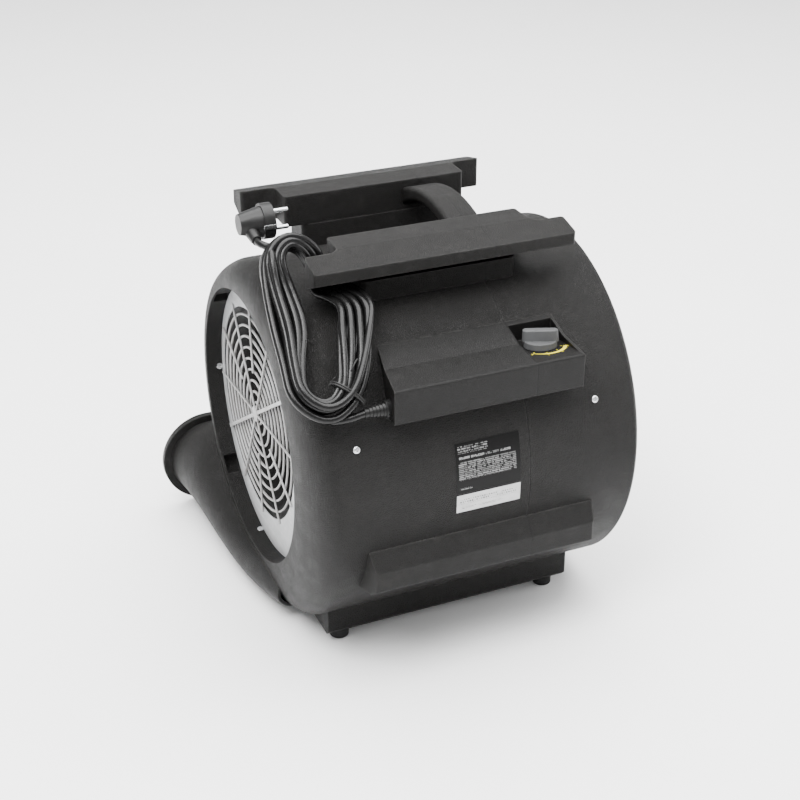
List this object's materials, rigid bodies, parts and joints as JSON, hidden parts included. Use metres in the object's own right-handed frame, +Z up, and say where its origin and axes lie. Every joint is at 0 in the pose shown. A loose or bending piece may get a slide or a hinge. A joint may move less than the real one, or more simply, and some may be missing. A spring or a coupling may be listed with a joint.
{
  "type": "car dryer blower",
  "caption": "Double-inlet centrifugal air mover: drum housing, guarded side intakes, wide low outlet, speed knob, carry handle, cord hooks and hung mains cord.",
  "frame": {"origin": "on the floor, below the middle of the object without its mains cord", "axes": "+X along the fan axis, -Y towards the switch box, +Y towards the air outlet, +Z up"},
  "size_m": [0.484, 0.464, 0.496],
  "materials": {
    "drum_plastic": "fine leather grain, satin",
    "box_plastic": "smooth satin",
    "galvanised_plate": "galvanised sheet",
    "wheel_steel": "galvanised sheet",
    "guard_wire": "light grey coated wire",
    "grille_wire": "black coated wire",
    "zinc_screws": "bright zinc",
    "foot_rubber": "matt",
    "cord_rubber": "satin",
    "plug_rubber": "satin",
    "tie_plastic": "satin",
    "pin_metal": "nickel plated",
    "knob_grey": "satin",
    "scale_print": "printed",
    "label_film": null,
    "motor_paint": "satin",
    "motor_iron": "bare laminations",
    "shaft_steel": "ground",
    "switch_plastic": "moulded",
    "terminal_plastic": "moulded",
    "capacitor_shell": "moulded"
  },
  "bodies": {
    "housing": {"base_block": "drum_plastic", "capacitor": "capacitor_shell", "capacitor_clamp": "galvanised_plate", "carry_handle": "drum_plastic", "cord_gland": "plug_rubber", "cord_tie": "tie_plastic", "cover_screws": "zinc_screws", "dial_scale": "scale_print", "drum_screws": "zinc_screws", "foot_screws": "zinc_screws", "front_rail_neck": "drum_plastic", "front_top_rail": "drum_plastic", "guard_rings_left": "guard_wire", "guard_rings_right": "guard_wire", "guard_spacers_right": "guard_wire", "guard_spokes_left": "guard_wire", "guard_spokes_right": "guard_wire", "housing_left": "drum_plastic", "housing_right": "drum_plastic", "inlet_cone_left": "galvanised_plate", "inlet_cone_right": "galvanised_plate", "intake_plate_left": "galvanised_plate", "intake_plate_right": "galvanised_plate", "motor_bearings": "shaft_steel", "motor_case": "motor_paint", "motor_end_bell_left": "motor_paint", "motor_end_bell_right": "motor_paint", "motor_spider": "galvanised_plate", "motor_stator": "motor_iron", "outlet_collar": "drum_plastic", "outlet_duct": "drum_plastic", "outlet_grille": "grille_wire", "plate_screws": "zinc_screws", "plug_body": "plug_rubber", "plug_earth_contacts": "pin_metal", "plug_pins": "pin_metal", "power_cord_hank": "cord_rubber", "power_cord_lead": "cord_rubber", "power_cord_plug_lead": "cord_rubber", "rating_label": "label_film", "rear_rail_neck": "drum_plastic", "rear_stand_bar": "drum_plastic", "rear_top_rail": "drum_plastic", "rotary_switch": "switch_plastic", "rubber_feet": "foot_rubber", "serial_strip": "label_film", "spider_bolts": "zinc_screws", "switch_box": "box_plastic", "switch_box_cover": "galvanised_plate", "switch_nut": "zinc_screws", "terminal_block": "terminal_plastic"},
    "impeller": {"impeller_disc": "wheel_steel", "impeller_hub": "wheel_steel", "blades_left": "wheel_steel", "blades_right": "wheel_steel", "impeller_rings": "wheel_steel", "motor_shaft": "shaft_steel", "motor_rotor": "motor_iron"},
    "knob": {"speed_knob": "knob_grey", "knob_spindle": "shaft_steel"}
  },
  "joints": [
    {"name": "impeller_spin", "type": "hinge", "parent": "housing", "child": "impeller", "pos_m": [0, 0.0345, 0.22], "axis": [1, 0, 0], "continuous": true},
    {"name": "speed_knob_turn", "type": "hinge", "parent": "housing", "child": "knob", "pos_m": [0.081, -0.179, 0.35455], "axis": [0, 0.1201, 0.9928], "range_deg": [-108, 0]}
  ]
}
